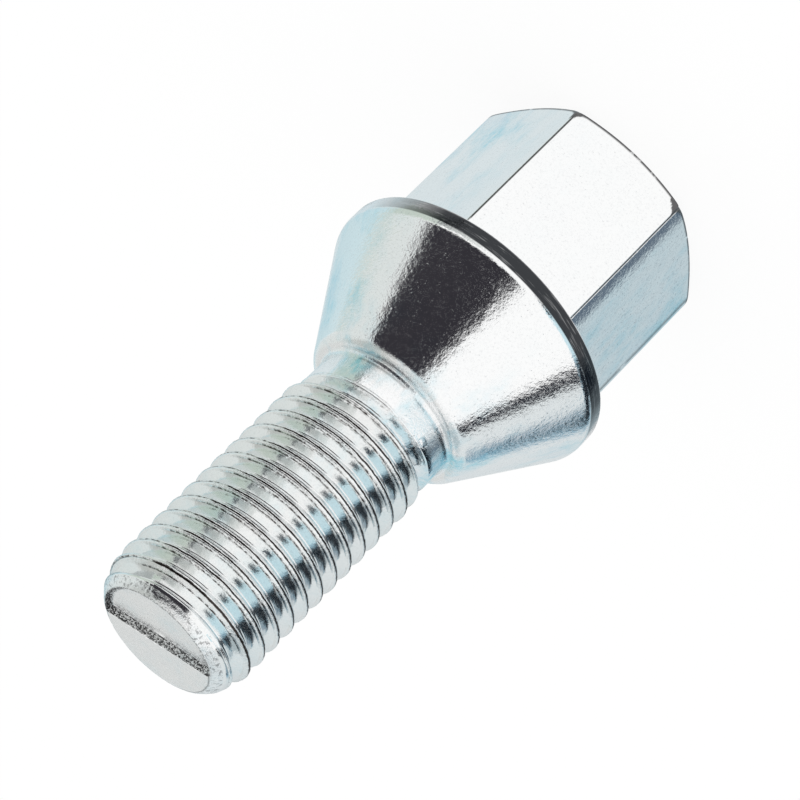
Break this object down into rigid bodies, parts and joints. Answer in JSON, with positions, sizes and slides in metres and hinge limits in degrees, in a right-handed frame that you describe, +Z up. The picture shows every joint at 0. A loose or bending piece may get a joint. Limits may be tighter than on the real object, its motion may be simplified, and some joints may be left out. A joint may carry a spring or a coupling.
{
  "type": "lug bolt",
  "caption": "Wheel bolt with a tall hexagon head, a thin round rim, a tapered cone seat, a short plain neck and a threaded shank that ends in a blunt nose.",
  "frame": {"origin": "middle of the hexagon's free end face, on which the bolt stands", "axes": "+Z up the bolt's axis from the head to the tip of the thread; +X through a corner of the hexagon, so two flats face -Y and +Y"},
  "size_m": [0.0226, 0.0226, 0.0481],
  "materials": {
    "zinc_plate": "bright zinc plate with a pale blue passivate, slightly pitted from forging"
  },
  "bodies": {
    "root": {"lug_bolt": "zinc_plate"}
  },
  "joints": []
}
